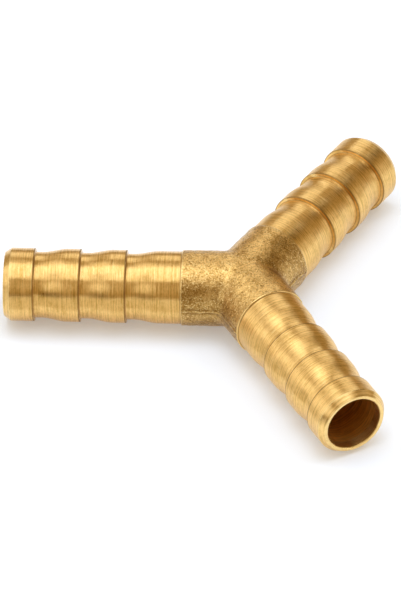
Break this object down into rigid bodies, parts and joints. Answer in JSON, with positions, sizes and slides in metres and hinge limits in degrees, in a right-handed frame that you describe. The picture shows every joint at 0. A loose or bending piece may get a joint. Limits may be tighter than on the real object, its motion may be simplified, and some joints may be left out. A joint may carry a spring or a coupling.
{
  "type": "tubing y connector",
  "caption": "Equal Y connector of brass for flexible tubing: a forged hub with barbed hose tails at 120 degrees, bored through.",
  "frame": {"origin": "the point where the three arms' axes cross, at the middle of the hub", "axes": "+Z square to the plane of the arms; one arm points along -X and the other two open 60 degrees to either side of +X"},
  "size_m": [0.0712, 0.0822, 0.014],
  "materials": {
    "brass": "satin turned hose tails with fine lathe lines, and a blasted as-forged skin on the hub"
  },
  "bodies": {
    "root": {"y_connector": "brass"}
  },
  "joints": []
}
